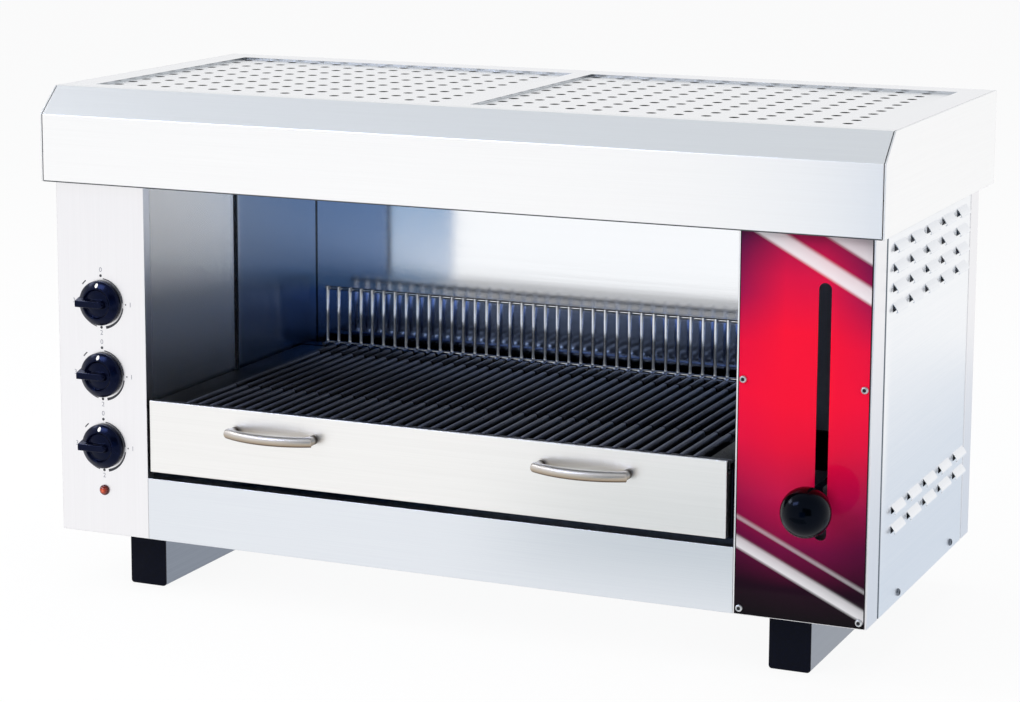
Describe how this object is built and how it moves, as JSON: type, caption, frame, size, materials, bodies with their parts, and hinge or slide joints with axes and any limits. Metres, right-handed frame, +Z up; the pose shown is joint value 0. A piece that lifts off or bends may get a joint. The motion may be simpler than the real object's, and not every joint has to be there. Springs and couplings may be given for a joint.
{
  "type": "cheese melter",
  "caption": "Counter-top electric grill with an open front, elements under a vented hood, and a lever-lifted cast grid over a pull-out drip drawer.",
  "frame": {"origin": "centre of the bounding box at floor level, under the legs", "axes": "+X to the right along the width as seen from the front, +Y to the back, +Z up"},
  "size_m": [0.9, 0.481, 0.529],
  "materials": {
    "satin_stainless": "satin",
    "bright_stainless": "bright annealed",
    "zinc_plated_steel": "zinc plated",
    "black_enamel": "gloss enamel",
    "cast_iron": "seasoned",
    "printed_plate": "gloss print",
    "black_phenolic": "gloss",
    "black_polythene": "moulded",
    "satin_nickel": "satin nickel",
    "stainless_wire": "drawn",
    "element_sheath": "oxidised",
    "ground_steel": "ground",
    "cast_aluminium": "machined",
    "bronze": "sintered",
    "nylon": "moulded",
    "mineral_wool": "felted",
    "switch_moulding": "moulded",
    "lamp_lens": "translucent",
    "steatite": "unglazed",
    "silicone_loom": "silicone"
  },
  "bodies": {
    "cabinet": {"base_pan": "satin_stainless", "leg_left": "satin_stainless", "leg_right": "satin_stainless", "leg_caps": "black_polythene", "leg_bolts": "zinc_plated_steel", "control_column": "satin_stainless", "lever_column": "satin_stainless", "lever_plate": "printed_plate", "side_panel_left": "satin_stainless", "side_panel_right": "satin_stainless", "rear_post_left": "satin_stainless", "rear_post_right": "satin_stainless", "rear_cover": "satin_stainless", "fascia": "satin_stainless", "chamber_left": "bright_stainless", "chamber_right": "bright_stainless", "chamber_back": "bright_stainless", "heat_shield": "bright_stainless", "insulation": "mineral_wool", "hood_front": "satin_stainless", "hood_cheek_left": "satin_stainless", "hood_cheek_right": "satin_stainless", "hood_rear": "satin_stainless", "hood_top": "satin_stainless", "grille_left": "satin_stainless", "grille_right": "satin_stainless", "element_front": "element_sheath", "element_middle": "element_sheath", "element_rear": "element_sheath", "element_hangers": "zinc_plated_steel", "guide_rods": "ground_steel", "rod_brackets": "zinc_plated_steel", "power_switches": "switch_moulding", "lamp_lens": "lamp_lens", "lamp_body": "nylon", "terminal_block": "steatite", "cable_gland": "black_polythene", "wire_loom": "silicone_loom", "plate_screws": "zinc_plated_steel", "side_screws": "zinc_plated_steel", "rear_screws": "zinc_plated_steel"},
    "lift": {"slider_blocks": "cast_aluminium", "slide_bushes": "bronze", "friction_brakes": "nylon", "lift_frame": "black_enamel", "wire_guard": "stainless_wire", "cast_grid": "cast_iron", "lever_bar": "black_enamel", "ball_knob": "black_phenolic"},
    "drawer": {"drip_tray": "zinc_plated_steel", "drawer_front": "satin_stainless", "bow_handles": "satin_nickel", "handle_screws": "zinc_plated_steel"},
    "top_control": {"knob_top": "black_phenolic", "shaft_top": "ground_steel"},
    "middle_control": {"knob_middle": "black_phenolic", "shaft_middle": "ground_steel"},
    "bottom_control": {"knob_bottom": "black_phenolic", "shaft_bottom": "ground_steel"}
  },
  "joints": [
    {"name": "grid_lift", "type": "slide", "parent": "cabinet", "child": "lift", "axis": [0, 0, 1], "range_m": [0, 0.19]},
    {"name": "drawer_pull", "type": "slide", "parent": "lift", "child": "drawer", "axis": [0, -1, 0], "range_m": [0, 0.26]},
    {"name": "bottom_knob_turn", "type": "hinge", "parent": "cabinet", "child": "bottom_control", "pos_m": [-0.388, -0.1695, 0.1545], "axis": [0, 1, 0], "range_deg": [0, 270]},
    {"name": "middle_knob_turn", "type": "hinge", "parent": "cabinet", "child": "middle_control", "pos_m": [-0.388, -0.1695, 0.2307], "axis": [0, 1, 0], "range_deg": [0, 270]},
    {"name": "top_knob_turn", "type": "hinge", "parent": "cabinet", "child": "top_control", "pos_m": [-0.388, -0.1695, 0.3069], "axis": [0, 1, 0], "range_deg": [0, 270]}
  ]
}
